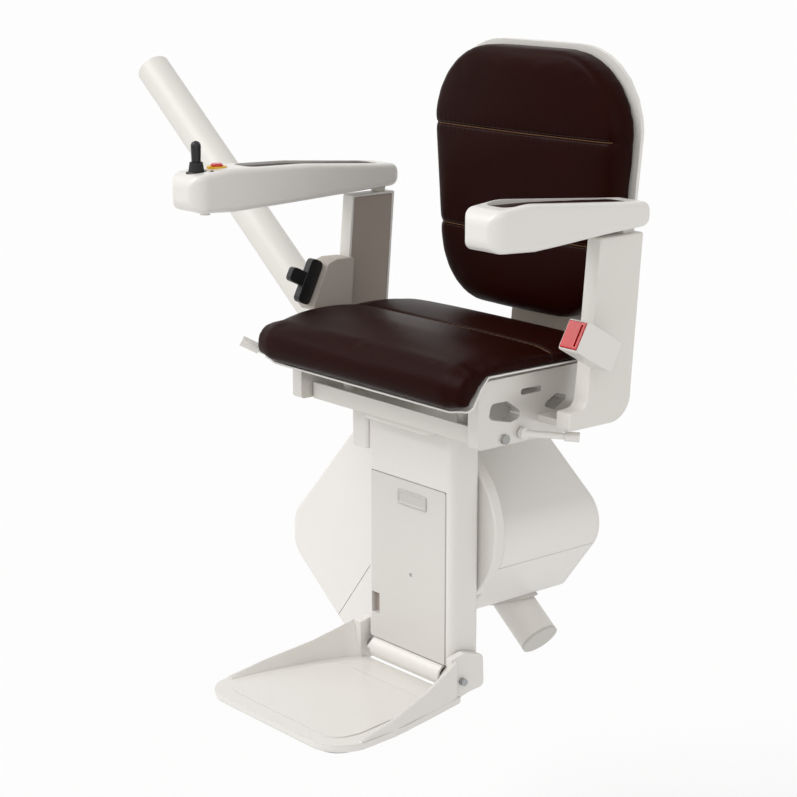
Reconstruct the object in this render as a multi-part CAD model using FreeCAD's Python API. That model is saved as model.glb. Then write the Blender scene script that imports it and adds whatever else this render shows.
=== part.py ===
import FreeCAD, Part
import math
import os

# Stairlift chair on a straight piece of single-tube rail, in millimetres.
# Origin: where the rail's axis crosses the chair's centre plane. +Z is up, the sitter faces -Y,
# +X is the sitter's left, and the rail climbs towards -X.

V = FreeCAD.Vector
os.makedirs("parts", exist_ok=True)

# Rail
SLOPE = 38.0              # climb of the stairs, degrees
RAIL_OD = 57.0
RAIL_WALL = 4.0
RAIL_LOW = -74.0          # ends of the tube along the rail, from the origin
RAIL_HIGH = 1148.0
RACK_MODULE = 3.0
RACK_DEPTH = 7.0          # solid bar behind the teeth
RACK_Y = (3.0, 13.0)      # set back under the tube, away from the sitter
PLUG_LENGTH = 18.0
PLUG_R = 25.0             # the tube's bore is opened a little for the plug
RACK_LOW = -28.0          # lower end of the rack along the rail

# Hub that keeps the chair level: an axis along Y above the origin
HUB_Z = 147.0
DISC_R = 118.0
DISC_Y = (-142.0, -124.0)

# Carriage housing, a rounded six-sided box whose sides follow the rail
HOUSING_Y = (-122.0, 65.0)
WALL = 3.0
SEAM_GAP = 1.0

# Column
COL_HALF = 90.0
COL_Y = (-197.0, -144.0)
COL_BOTTOM = -33.0
COL_TOP = 292.0
PANEL_HALF = 79.0
PANEL_TOP = 213.0
SWIVEL_Y = -170.0
SWIVEL_R = 9.0            # bore the seat's spigot turns in

# Footrest
FOOT_AXIS = (-190.0, -50.0)
FOOT_FLOOR = -68.0
FOOT_BOTTOM = -79.0
FOOT_FRONT = -447.0
FOOT_PIN_R = 5.0

# Seat frame
FRAME_HALF = 175.0
FRAME_Y = (-228.0, 20.0)
FRAME_Z = (303.0, 326.0)
UPRIGHT_IN = 239.0
UPRIGHT_T = 24.0
UPRIGHT_D = 78.0
UPRIGHT_TOP = 572.0
J_BOTTOM = 326.0
LEAN = 4.5                # backward lean of the uprights, degrees
BACK_LEAN = 0.5

# Seat
SEAT_HALF = 215.0
SEAT_FRONT = -303.0
SEAT_REAR = -12.0
SEAT_LOW = 362.0          # underside of the front roll
SEAT_SIDE_LOW = 403.0     # underside behind the roll
SEAT_TOP = 423.0
SEAT_CROWN = 3.0
SEAT_SEAM_Y = -130.0
SEAT_AXIS = (-50.0, 378.0)
SEAT_PIN_R = 6.0
PAN_T = 2.6
PAN_GAP = 1.0

# Back
BACK_HALF = 189.0
BACK_LOW = 426.0
BACK_TOP = 793.0
BACK_FRONT_Y = -8.0       # cushion front at its lower edge
BACK_THICK = 46.0
BACK_SEAMS = (534.0, 676.0)

# Arms
ARM_X = 251.0
ARM_W = 68.0
ARM_PIVOT = (-43.0, 597.0)
ARM_PIN_R = 4.0
ARM_REAR = -24.0
ARM_FRONT_LONG = -391.0   # sitter's right, with the controls
ARM_FRONT_SHORT = -303.0
ARM_ROUND = 8.0
PAD_SINK = 3.0            # the pads lie in a dish, below the arm's rim
BALL_R = 14.2             # joystick's ball

COS = math.cos(math.radians(SLOPE))
SIN = math.sin(math.radians(SLOPE))


def save(name, shape):
    """Write one piece to its own file."""
    shape = shape.removeSplitter() if shape.ShapeType != "Compound" else shape
    shape.exportStep("parts/" + name + ".step")
    print(name, len(shape.Solids), "solid(s)", round(shape.Volume / 1000.0, 1), "cm3", shape.isValid())


def box(x, y, z):
    """Box between two values on each axis."""
    return Part.makeBox(x[1] - x[0], y[1] - y[0], z[1] - z[0], V(x[0], y[0], z[0]))


def rod(r, start, end):
    """Round bar between two points."""
    a, b = V(*start), V(*end)
    return Part.makeCylinder(r, (b - a).Length, a, b - a)


def ring(outer, inner, start, end):
    """Round tube between two points."""
    return rod(outer, start, end).cut(rod(inner, start, end))


def on_rail(u, v):
    """X and Z of a point u along the rail and v square to it, from the origin."""
    return (-COS * u + SIN * v, SIN * u + COS * v)


def from_hub(u, v):
    """X and Z of a point u along the rail and v square to it, from the hub axis."""
    x, z = on_rail(u, v)
    return (x, z + HUB_Z)


def rounded(points, radii, put):
    """Closed wire through the points, each corner rounded by its radius."""
    n = len(points)
    tangents = []
    for i in range(n):
        p, q, r = V(*points[i - 1]), V(*points[i]), V(*points[(i + 1) % n])
        a, b = (p - q).normalize(), (r - q).normalize()
        half = a.getAngle(b) / 2.0
        back = radii[i] / math.tan(half) if radii[i] else 0.0
        middle = (a + b).normalize() if radii[i] else a
        apex = q + middle * (radii[i] / math.sin(half) - radii[i]) if radii[i] else q
        tangents.append((q + a * back, apex, q + b * back))
    edges = []
    for i in range(n):
        start, apex, end = [put(t) for t in tangents[i]]
        following = put(tangents[(i + 1) % n][0])
        if radii[i]:
            edges.append(Part.Arc(start, apex, end).toShape())
        if (following - end).Length > 1e-6:
            edges.append(Part.LineSegment(end, following).toShape())
    return Part.Wire(edges)


def plate_xz(points, radii, y0, y1):
    """Rounded outline in X and Z, extruded along Y."""
    wire = rounded([(x, z, 0) for x, z in points], radii, lambda p: V(p.x, y0, p.y))
    return Part.Face(wire).extrude(V(0, y1 - y0, 0))


def plate_yz(points, radii, x0, x1):
    """Rounded outline in Y and Z, extruded along X."""
    wire = rounded([(y, z, 0) for y, z in points], radii, lambda p: V(x0, p.x, p.y))
    return Part.Face(wire).extrude(V(x1 - x0, 0, 0))


def plate_xy(points, radii, z0, z1):
    """Rounded outline in X and Y, extruded along Z."""
    wire = rounded([(x, y, 0) for x, y in points], radii, lambda p: V(p.x, p.y, z0))
    return Part.Face(wire).extrude(V(0, 0, z1 - z0))


def rounded_box(x, y, z, r):
    """Box whose upright edges are rounded."""
    corners = [(x[0], y[0]), (x[1], y[0]), (x[1], y[1]), (x[0], y[1])]
    return plate_xy(corners, [r] * 4, z[0], z[1])


def lean(shape, y, z):
    """Tip a shape of the back by BACK_LEAN about an X line."""
    shape.rotate(V(0, y, z), V(1, 0, 0), -BACK_LEAN)
    return shape


def loft(wires):
    """Solid through closed wires, with straight rulings."""
    return Part.makeLoft(wires, True, True)


def mirror_x(shape):
    """Mirror image on the other side of the chair's centre plane."""
    return shape.mirror(V(0, 0, 0), V(1, 0, 0))


def both(shape):
    """A shape and its mirror image as two separate solids."""
    return Part.makeCompound([shape, mirror_x(shape)])


# Rail pieces
def rail_line(u, v, y=0.0):
    """Point u along the rail and v square to it, at a depth y."""
    x, z = on_rail(u, v)
    return (x, y, z)


def rail_prism(outline, y):
    """Outline along and square to the rail, extruded between two depths."""
    points = [V(*rail_line(u, v, y[0])) for u, v in outline]
    return Part.Face(Part.makePolygon(points + points[:1])).extrude(V(0, y[1] - y[0], 0))


def make_rail():
    plug = rod(PLUG_R, rail_line(RAIL_LOW, 0), rail_line(RAIL_LOW + PLUG_LENGTH, 0))
    tube = ring(RAIL_OD / 2, RAIL_OD / 2 - RAIL_WALL, rail_line(RAIL_LOW, 0), rail_line(RAIL_HIGH, 0))
    save("rail_tube", tube.cut(plug))

    # The rack hangs under the tube, a bar with straight-sided teeth
    pitch = math.pi * RACK_MODULE
    root = -RAIL_OD / 2 - RACK_DEPTH
    tip = root - 2.25 * RACK_MODULE
    count = int((RAIL_HIGH - 20.0 - RACK_LOW) / pitch)
    outline = [(RACK_LOW, -RAIL_OD / 2 + 6.0), (RACK_LOW, root)]
    for i in range(count):
        u = RACK_LOW + (i + 0.5) * pitch
        outline += [(u - 0.36 * pitch, root), (u - 0.13 * pitch, tip),
                    (u + 0.13 * pitch, tip), (u + 0.36 * pitch, root)]
    high = RACK_LOW + count * pitch
    outline += [(high, root), (high, -RAIL_OD / 2 + 6.0)]
    bar = rail_prism(outline, RACK_Y)
    save("rail_rack", bar.cut(rod(RAIL_OD / 2, rail_line(RAIL_LOW, 0), rail_line(RAIL_HIGH, 0))))

    # Plug in the lower end
    rim = rod(RAIL_OD / 2, rail_line(RAIL_LOW - 4, 0), rail_line(RAIL_LOW, 0))
    save("rail_end_cap", rim.fuse(plug))


# Carriage housing
HOUSING = [(218.6, -41.6), (238, -284), (205, -328), (40, -328), (-112, -78), (-112, 71), (71.6, 71)]
HOUSING_R = [30, 45, 35, 30, 22, 52, 30]
COVER_SPLIT = (66.0, 21.0)
RAIL_GAP = 6.0            # between the tube and the edge of its hole in the housing


def housing_wire(y):
    return rounded([(u, v, 0) for u, v in HOUSING], HOUSING_R,
                   lambda p: V(from_hub(p.x, p.y)[0], y, from_hub(p.x, p.y)[1]))


def housing_block(inset, y0, y1):
    """The housing's solid form, drawn in by an inset."""
    face = Part.Face(housing_wire(y0))
    if inset:
        face = face.makeOffset2D(-inset)
    return face.extrude(V(0, y1 - y0, 0))


def uv_block(u, v, y):
    """Box aligned with the rail, measured from the hub."""
    corners = [(u[0], v[0]), (u[1], v[0]), (u[1], v[1]), (u[0], v[1])]
    points = [V(from_hub(a, b)[0], y[0], from_hub(a, b)[1]) for a, b in corners]
    return Part.Face(Part.makePolygon(points + points[:1])).extrude(V(0, y[1] - y[0], 0))


def make_housing():
    y0, y1 = HOUSING_Y
    outer = housing_block(0, y0, y1 - 4)
    edge = [e for e in outer.Edges if abs(e.BoundBox.YMax - y0) < 0.01]
    outer = outer.makeFillet(5.0, edge)
    shell = outer.cut(housing_block(WALL, y0 + WALL, y1))
    hub_hole = rod(40, (0, y0 - 5, HUB_Z), (0, y0 + 10, HUB_Z))
    rail_hole = rod(RAIL_OD / 2 + RAIL_GAP, rail_line(RAIL_LOW - 200, 0), rail_line(RAIL_HIGH, 0))
    drop = HUB_Z * COS
    rack_slot = uv_block((-300, 500), (-drop - 50, -drop), (RACK_Y[0] - 6, RACK_Y[1] + 6))
    shell = shell.cut(hub_hole).cut(rail_hole).cut(rack_slot)
    split_u, split_v = COVER_SPLIT
    low = uv_block((-300, split_u), (-500, split_v), (y0 - 10, y1 + 10))
    low_clear = uv_block((-300, split_u + SEAM_GAP), (-500, split_v + SEAM_GAP), (y0 - 10, y1 + 10))
    save("main_cover", shell.cut(low_clear))
    save("lower_cover", shell.common(low))

    vents = [uv_block((150 + 14 * i, 156 + 14 * i), (-230, -150), (y1 - 9, y1 + 9)) for i in range(4)]
    save("rear_cover", housing_block(0, y1 - 4, y1).cut(vents))

    # Rubber wiper round the tube where the rail leaves the lower cover
    collar = ring(RAIL_OD / 2 + RAIL_GAP, RAIL_OD / 2 + 0.6, rail_line(-50, 0), rail_line(60, 0))
    band = rail_prism([(-41, 60), (-21, 60), (52, -60), (32, -60)], (-40, 40))
    save("rail_wiper", collar.common(band).cut(rack_slot))


# Chassis inside the housing
ROLLER_R = 18.0
UPPER_ROLLERS = (40.0, 230.0)     # along the rail from the origin
LOWER_ROLLER = 118.0
UPPER_V = RAIL_OD / 2 + ROLLER_R + 0.3
LOWER_WHEEL_R = 30.0
LOWER_V = -RAIL_OD / 2 - LOWER_WHEEL_R + 3.4
PINION_TEETH = 16
PINION_U = 172.0
PINION_V = -RAIL_OD / 2 - RACK_DEPTH - 1.25 * RACK_MODULE - RACK_MODULE * PINION_TEETH / 2.0 - 0.25
PINION_SHAFT_R = 8.0
PLATE_FRONT = (-92.0, -84.0)
PLATE_BACK = (40.0, 46.0)
PLATE_INSET = 9.0
BAR_R = 9.0
AXLE_R = 6.0
SLEEVE_R = 8.0
HUB_SHAFT_R = 15.0
BEARING_R = 26.0
RUNNING = 0.05            # radial clearance of a turning shaft


def axle_places():
    """X and Z of each roller's axle."""
    return [on_rail(u, UPPER_V) for u in UPPER_ROLLERS] + [on_rail(LOWER_ROLLER, LOWER_V)]


def make_chassis():
    # Two plates shaped like the housing, tied by four bars
    front = housing_block(PLATE_INSET, *PLATE_FRONT)
    back = housing_block(PLATE_INSET, *PLATE_BACK)
    bars = []
    for u, v in ((10, 152), (278, 66), (295, -140), (160, -180)):
        x, z = on_rail(u, v)
        bars.append(rod(BAR_R, (x, PLATE_FRONT[1], z), (x, PLATE_BACK[0], z)))
    boss = rod(38, (0, HOUSING_Y[0] - 0.5, HUB_Z), (0, PLATE_FRONT[0], HUB_Z))
    frame = front.fuse([back, boss] + bars)
    frame = frame.cut(rod(BEARING_R, (0, -130, HUB_Z), (0, -70, HUB_Z)))
    for x, z in axle_places():
        frame = frame.cut(rod(AXLE_R, (x, -120, z), (x, 80, z)))
    x, z = on_rail(PINION_U, PINION_V)
    frame = frame.cut(rod(PINION_SHAFT_R + RUNNING, (x, -120, z), (x, 80, z)))
    save("carriage_frame", frame)
    save("hub_bearing", ring(BEARING_R, HUB_SHAFT_R + RUNNING, (0, -121, HUB_Z), (0, -96, HUB_Z)))


def make_rollers():
    half = 25.0
    groove = RAIL_OD / 2 + 0.3
    steps = 8
    ys = [half * (2.0 * i / steps - 1.0) for i in range(steps + 1)]
    for k, u in enumerate(UPPER_ROLLERS):
        x, z = on_rail(u, UPPER_V)
        profile = [V(x, -half, z)]
        profile += [V(x, y, z + UPPER_V - math.sqrt(groove ** 2 - (y * 0.98) ** 2)) for y in ys]
        profile += [V(x, half, z)]
        body = Part.Face(Part.makePolygon(profile + profile[:1])).revolve(V(x, 0, z), V(0, 1, 0), 360)
        body = body.cut(rod(SLEEVE_R + RUNNING, (x, -60, z), (x, 60, z)))
        save("upper_roller_%d" % (k + 1), body)
    x, z = on_rail(LOWER_ROLLER, LOWER_V)
    wheels = [rod(LOWER_WHEEL_R, (x, s * 14, z), (x, s * half, z)) for s in (-1, 1)]
    body = rod(10.0, (x, -14.5, z), (x, 14.5, z)).fuse(wheels)
    save("lower_roller", body.cut(rod(SLEEVE_R + RUNNING, (x, -60, z), (x, 60, z))))
    axles = []
    for x, z in axle_places():
        pin = rod(AXLE_R, (x, PLATE_FRONT[0] - 4, z), (x, PLATE_BACK[1] + 4, z))
        axles.append(pin.fuse(ring(SLEEVE_R, AXLE_R, (x, -half - 1, z), (x, half + 1, z))))
    save("roller_axles", Part.makeCompound(axles))


def make_drive():
    x, z = on_rail(PINION_U, PINION_V)
    pitch_r = RACK_MODULE * PINION_TEETH / 2.0
    root_r, tip_r = pitch_r - 1.25 * RACK_MODULE, pitch_r + 0.9 * RACK_MODULE
    step = 2 * math.pi / PINION_TEETH
    # A gap of the rack faces the pinion's tooth at rest
    pitch = math.pi * RACK_MODULE
    phase = ((PINION_U - RACK_LOW) / pitch) % 1.0
    first = math.atan2(COS, SIN) - phase * step
    points = []
    for i in range(PINION_TEETH):
        a = first + i * step
        for da, r in ((-0.32, root_r), (-0.11, tip_r), (0.11, tip_r), (0.32, root_r)):
            points.append(V(x + r * math.cos(a + da * step), RACK_Y[0], z + r * math.sin(a + da * step)))
    gear = Part.Face(Part.makePolygon(points + points[:1])).extrude(V(0, RACK_Y[1] - RACK_Y[0], 0))
    shaft = rod(PINION_SHAFT_R, (x, -100, z), (x, 52, z))
    save("drive_pinion", gear.fuse(shaft))

    # Worm gearbox on the front plate, with the motor beside it
    drop = HUB_Z * COS
    gear_u, gear_v = PINION_U - 90.5, PINION_V - drop
    gearbox = uv_block((gear_u - 38, gear_u + 38), (gear_v - 38, gear_v + 22), (PLATE_FRONT[1], -36))
    gearbox = gearbox.cut(rod(PINION_SHAFT_R + RUNNING, (x, -100, z), (x, -20, z)))
    save("drive_gearbox", gearbox)
    near, far = from_hub(gear_u + 38, gear_v - 8), from_hub(gear_u + 138, gear_v - 8)
    save("drive_motor", rod(22, (near[0], -60, near[1]), (far[0], -60, far[1])))

    # Batteries and the levelling motor on the back plate
    cells = [uv_block((-60 + 75 * i, 8 + 75 * i), (-26, 40), (-20, PLATE_BACK[0])) for i in range(2)]
    save("battery_pack", Part.makeCompound(cells))
    low, high = from_hub(95, -10), from_hub(140, -10)
    y = PLATE_BACK[0] - 17
    save("levelling_motor", rod(17, (low[0], y, low[1]), (high[0], y, high[1])))


# Column
def foot_line(r, half):
    """Round bar along the footrest's hinge axis."""
    return rod(r, (-half, FOOT_AXIS[0], FOOT_AXIS[1]), (half, FOOT_AXIS[0], FOOT_AXIS[1]))


def make_column():
    y0, y1 = COL_Y
    outer = rounded_box((-COL_HALF, COL_HALF), (y0, y1), (COL_BOTTOM, COL_TOP), 11)
    inner = rounded_box((-COL_HALF + 3, COL_HALF - 3), (y0 + 7, y1 - 3), (COL_BOTTOM - 1, COL_TOP - 3), 8)
    pocket = box((-PANEL_HALF, PANEL_HALF), (y0 - 1, y0 + 3), (COL_BOTTOM - 1, PANEL_TOP))
    cover = outer.cut(inner).cut(pocket)
    slot = box((-PANEL_HALF + 1.5, -PANEL_HALF + 18), (y0 - 3, y0 + 5), (4, 34))
    cover = cover.cut(slot).cut(rod(26, (0, y1 - 9, HUB_Z), (0, y1 + 1, HUB_Z)))
    cover = cover.cut(rod(20, (0, SWIVEL_Y, COL_TOP - 9), (0, SWIVEL_Y, COL_TOP + 1)))
    screw = rod(2.6, (7, y0 - 3, 79), (7, y0 + 9, 79))
    save("column_cover", cover.cut(screw))

    panel = plate_xz([(-PANEL_HALF + 0.6, COL_BOTTOM), (PANEL_HALF - 0.6, COL_BOTTOM),
                      (PANEL_HALF - 0.6, PANEL_TOP - 0.6), (-PANEL_HALF + 0.6, PANEL_TOP - 0.6)],
                     [1, 1, 4, 4], y0 - 1.5, y0 + 2.5)
    panel = panel.cut(slot).cut(screw)
    save("front_panel", panel)
    badge = plate_xz([(-20, 178), (40, 178), (40, 198), (-20, 198)], [2.5] * 4, y0 - 3.2, y0 - 1.5)
    field = plate_xz([(-17, 181), (37, 181), (37, 195), (-17, 195)], [1.0] * 4, y0 - 4, y0 - 2.6)
    save("blank_badge", badge.cut(field))

    # Steel post inside the cover, from the footrest lugs to the swivel seat
    post = box((-34, 34), (y0 + 9, y1 - 3), (COL_BOTTOM + 2, COL_TOP - 16))
    post = post.cut(box((-29, 29), (y0 + 14, y1 - 10), (COL_BOTTOM - 10, COL_TOP)))
    head = rounded_box((-70, 70), (y0 + 8, y1 - 4), (COL_TOP - 18, COL_TOP - 10), 6)
    spigot = rod(19, (0, SWIVEL_Y, COL_TOP - 10.5), (0, SWIVEL_Y, COL_TOP + 0.4))
    bore = rod(SWIVEL_R, (0, SWIVEL_Y, COL_TOP - 30), (0, SWIVEL_Y, COL_TOP + 9))
    head, spigot = head.cut(bore), spigot.cut(bore)
    lug = plate_yz([(-205, -50), (-190, -67), (-173, -50), (-173, -28), (-189.5, -28), (-189.5, -35)],
                   [3, 13, 3, 2, 0, 0], 74, 82)
    tie = box((-82, 82), (-188, -176), (COL_BOTTOM + 2, COL_BOTTOM + 7))
    frame = post.fuse([head, spigot, lug, mirror_x(lug), tie])
    frame = frame.cut(foot_line(FOOT_PIN_R, 120))
    frame = frame.cut(rod(HUB_SHAFT_R, (0, y1 - 30, HUB_Z), (0, y1 + 10, HUB_Z)))
    save("column_frame", frame)

    drive = rounded_box((-125, -COL_HALF), (y0 + 0.5, y1 + 1), (240, COL_TOP), 6)
    save("swivel_drive_cover", drive)

    disc = ring(DISC_R, HUB_SHAFT_R, (0, DISC_Y[0], HUB_Z), (0, DISC_Y[1], HUB_Z))
    save("hub_disc", disc.makeFillet(3.0, [e for e in disc.Edges if e.BoundBox.XLength > 2 * DISC_R - 0.5]))
    shaft = rod(HUB_SHAFT_R, (0, -176, HUB_Z), (0, -78, HUB_Z))
    save("hub_shaft", shaft.fuse(rod(22, (0, y1 - 15, HUB_Z), (0, y1 - 10, HUB_Z))))

    barrel = foot_line(16.6, 74).cut(foot_line(13.5, 75))
    save("hinge_barrel", barrel.cut(box((-90, 90), (-196, -160), (COL_BOTTOM - 3, 0))))
    save("footrest_pin", foot_line(FOOT_PIN_R, 112))


# Footrest
def foot_half(y):
    """Half width of the footrest at a depth."""
    stops = [(-447.0, 150.0), (-384.0, 150.0), (-320.0, 142.0), (-220.0, 118.0), (-148.0, 104.0)]
    for (ya, wa), (yb, wb) in zip(stops, stops[1:]):
        if y <= yb:
            return wa + (wb - wa) * (y - ya) / (yb - ya)
    return stops[-1][1]


def make_footrest():
    ys = (-384.0, -320.0, -220.0, -199.0)
    right = [(foot_half(y), y) for y in ys]
    left = [(-x, y) for x, y in reversed(right)]
    outline = [(150, FOOT_FRONT)] + right + left + [(-150, FOOT_FRONT)]
    radii = [52, 90, 120, 0.8, 2, 2, 0.8, 120, 90, 52]
    plate = plate_xy(outline, radii, FOOT_BOTTOM, FOOT_FLOOR)
    low = [e for e in plate.Edges if abs(e.BoundBox.ZMax - FOOT_BOTTOM) < 0.01 and e.BoundBox.YMin < -260]
    plate = plate.makeFillet(5.0, low)

    # Side wings: a loft of four-sided sections from the front of the plate to the hinge
    def section(y, inner, outer, top, bottom, slope):
        pts = [V(inner, y, bottom), V(outer - 1.5, y, bottom), V(outer, y, bottom + 1.5),
               V(outer - 1.0, y, top - 2.0), V(outer - 3.5, y, top), V(outer - 5.5, y, top),
               V(inner + slope, y, min(top, FOOT_FLOOR + 2.0) - 1.0)]
        return Part.makePolygon(pts + pts[:1])

    rows = [(-400, 138, 150.0, -64.5, 2), (-340, 133, 145.0, -53, 2), (-270, 121, 130.0, -38, 2),
            (-222, 106, 118.5, -22.0, 1), (-206, 96, 114.5, -16.0, 0.4)]
    wires = [section(y, inner, outer, top, FOOT_BOTTOM + 1.0, slope) for y, inner, outer, top, slope in rows]
    wing = loft(wires)
    arm = plate_yz([(-207, FOOT_BOTTOM + 2), (-207, -16), (-184, -11), (-151, -20), (-149, -66), (-176, -69)],
                   [0.5, 0.5, 10, 8, 8, 6], 93.0, 104.5)
    side = wing.fuse(arm)
    foot = plate.fuse([side, mirror_x(side)])
    save("footplate", foot.cut(foot_line(FOOT_PIN_R + RUNNING, 130)))

    mat = [(foot_half(y) - 26, y) for y in (-384, -300, -246)]
    outline = [(118, -424)] + mat + [(-x, y) for x, y in reversed(mat)] + [(-118, -424)]
    tread = plate_xy(outline, [26, 20, 60, 12, 12, 60, 20, 26], FOOT_FLOOR, FOOT_FLOOR + 1.2)
    save("tread_mat", tread)
    edge = plate_xy([(132, -430), (122, -300), (98, -215), (-98, -215), (-122, -300), (-132, -430)],
                    [30, 60, 8, 8, 60, 30], FOOT_BOTTOM - 7.0, FOOT_BOTTOM - 1.5)
    posts = [rod(6, (x, y, FOOT_BOTTOM - 3.0), (x, y, FOOT_BOTTOM - 0.02))
             for x, y in ((-90, -390), (90, -390), (-80, -250), (80, -250))]
    save("safety_edge", edge.fuse(posts))


# Seat frame, which turns on the column
def make_seat_frame():
    plate = rounded_box((-70, 70), (-220, -120), (COL_TOP + 1.0, FRAME_Z[0]), 10)
    spigot = rod(SWIVEL_R - RUNNING, (0, SWIVEL_Y, COL_TOP - 14), (0, SWIVEL_Y, COL_TOP + 2))
    save("swivel_plate", plate.fuse(spigot))

    tray = rounded_box((-FRAME_HALF, FRAME_HALF), FRAME_Y, FRAME_Z, 6)
    hollow = rounded_box((-FRAME_HALF + 4, FRAME_HALF - 4), (FRAME_Y[0] + 4, FRAME_Y[1] - 4),
                         (FRAME_Z[0] + 4, FRAME_Z[1] + 5), 4)
    bolt_holes = [rod(4.0, (-240, y, 312), (240, y, 312)) for y in (-200, -70)]
    save("subframe", tray.cut([hollow] + bolt_holes))

    # Cast side brackets with a slot and two windows
    outline = [(-246, 303.5), (-246, 386), (-228, 393), (-62, 394), (-36, 392), (-31, 366), (-22, 330),
               (-44, 303.5)]
    radii = [5, 12, 12, 10, 10, 12, 14, 8]
    cast = plate_yz(outline, radii, FRAME_HALF + 0.4, FRAME_HALF + 20.0)
    windows = [plate_yz([(-228, 342), (-190, 333), (-162, 339), (-196, 362), (-224, 362)], [7] * 5, 150, 230),
               plate_yz([(-134, 346), (-112, 337), (-84, 352), (-108, 359)], [4] * 4, 150, 230),
               plate_yz([(-172, 366), (-134, 366), (-134, 374), (-172, 374)], [3.8] * 4, 150, 230)]
    for window in windows:
        cast = cast.cut(window)
    cast = cast.cut([rod(SEAT_PIN_R, (150, *SEAT_AXIS), (240, *SEAT_AXIS))] + bolt_holes)
    save("side_bracket_left", cast)
    save("side_bracket_right", mirror_x(cast))

    # Uprights: flat boards that end in a J under the seat
    tan = math.tan(math.radians(LEAN))
    front_y, top = -100.0, UPRIGHT_TOP
    knee = 372.0
    drop_front = tan * (top - knee)
    points = [(front_y, top), (front_y + UPRIGHT_D, top),
              (front_y + UPRIGHT_D - drop_front, knee), (front_y + UPRIGHT_D - drop_front - 2, J_BOTTOM),
              (-150, J_BOTTOM), (-150, J_BOTTOM + 24), (front_y - drop_front - 5, J_BOTTOM + 26),
              (front_y - drop_front, knee + 20)]
    radii = [3, 3, 40, 36, 6, 4, 14, 30]
    board = plate_yz(points, radii, UPRIGHT_IN, UPRIGHT_IN + UPRIGHT_T)
    edges = [e for e in board.Edges if e.BoundBox.XLength < 0.01 and abs(e.BoundBox.XMax - UPRIGHT_IN - UPRIGHT_T) < 0.01]
    board = board.makeFillet(3.0, edges)
    recess = plate_yz([(-97.2, 568.5), (-25.4, 568.5), (-40.3, 380), (-112, 380)], [3, 3, 3, 3],
                      UPRIGHT_IN - 1, UPRIGHT_IN + 2.0)
    board = board.cut(recess)
    pivot_y, pivot_z = ARM_PIVOT
    tongue = plate_yz([(pivot_y - 9, top - 8), (pivot_y + 9, top - 8), (pivot_y + 11, pivot_z),
                       (pivot_y, pivot_z + 11), (pivot_y - 11, pivot_z)], [0.5, 0.5, 6, 6, 6],
                      ARM_X - 4.5, ARM_X + 4.5)
    board = board.fuse(tongue).cut(rod(ARM_PIN_R, (200, *ARM_PIVOT), (300, *ARM_PIVOT)))
    # Foot that ties the J to the side bracket
    tie = box((FRAME_HALF + 20.2, UPRIGHT_IN + 1), (-142, -56), (J_BOTTOM + 1, J_BOTTOM + 10))
    board = board.fuse(tie)
    save("upright_left", board)
    save("upright_right", mirror_x(board))
    inlay = plate_yz([(-96.6, 567.9), (-26.1, 567.9), (-40.9, 380.6), (-111.3, 380.6)], [2.5] * 4,
                     UPRIGHT_IN + 0.7, UPRIGHT_IN + 2.0)
    save("upright_panels", both(inlay))

    hinge_pins = [rod(SEAT_PIN_R, (s * 162, *SEAT_AXIS), (s * 197, *SEAT_AXIS)) for s in (-1, 1)]
    save("seat_hinge_pins", Part.makeCompound(hinge_pins))
    arm_pins = [rod(ARM_PIN_R, (s * (ARM_X - 15), *ARM_PIVOT), (s * (ARM_X + 15), *ARM_PIVOT)) for s in (-1, 1)]
    save("arm_hinge_pins", Part.makeCompound(arm_pins))

    bolts = [rod(4.0, (s * 168, y, 312), (s * 196, y, 312)).fuse(
        rod(6.5, (s * 195, y, 312), (s * 199, y, 312))) for s in (-1, 1) for y in (-200, -70)]
    save("bracket_bolts", Part.makeCompound(bolts))


# Seat pan and cushion
def seat_profile(x, inset, top, raise_low):
    """Side outline of the seat cushion at one station."""
    front = SEAT_FRONT + inset
    rear = SEAT_REAR - inset
    low = SEAT_LOW + raise_low
    side_low = SEAT_SIDE_LOW + raise_low * 0.3
    seam = SEAT_SEAM_Y

    def p(y, z):
        return V(x, y, z)

    notch = 2.6
    edges = [
        Part.Arc(p(rear, side_low + 3), p(rear - 0.6, (side_low + top - 6) / 2 + 1), p(rear - 7, top - 8)).toShape(),
        Part.Arc(p(rear - 7, top - 8), p((rear + seam) / 2 - 6, top), p(seam + 4, top - 1)).toShape(),
        Part.LineSegment(p(seam + 4, top - 1), p(seam, top - 1 - notch)).toShape(),
        Part.LineSegment(p(seam, top - 1 - notch), p(seam - 4, top - 1)).toShape(),
        Part.Arc(p(seam - 4, top - 1), p((front + seam) / 2 - 10, top - 0.5), p(front + 38, top - 8)).toShape(),
        Part.Arc(p(front + 38, top - 8), p(front + 4, top - 30), p(front + 3, low + 12)).toShape(),
        Part.Arc(p(front + 3, low + 12), p(front + 8, low + 1.5), p(front + 20, low)).toShape(),
        Part.LineSegment(p(front + 20, low), p(front + 26, low + 3)).toShape(),
        Part.Arc(p(front + 26, low + 3), p(front + 36, low + 20), p(front + 52, side_low)).toShape(),
        Part.LineSegment(p(front + 52, side_low), p(rear - 4, side_low)).toShape(),
        Part.LineSegment(p(rear - 4, side_low), p(rear, side_low + 3)).toShape(),
    ]
    return Part.Wire(edges)


def pan_profile(x, inset, top, raise_low):
    """Section of the pan under the cushion's section at the same station."""
    front, rear = SEAT_FRONT + inset, SEAT_REAR - inset
    low, side_low = SEAT_LOW + raise_low - PAN_GAP, SEAT_SIDE_LOW + raise_low * 0.3
    upper = [(front + 17, low), (front + 22, low), (front + 29, low + 4), (front + 41, low + 24),
             (front + 55, side_low), (rear - 4, side_low)]
    lower = [(rear - 4, side_low - PAN_T), (front + 56, side_low - PAN_T), (front + 43, low + 21),
             (front + 31, low + 1 - PAN_T * 0.4), (front + 23, low - PAN_T), (front + 17, low - PAN_T)]
    points = [V(x, y, z) for y, z in upper + lower]
    return Part.makePolygon(points + points[:1])


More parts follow.
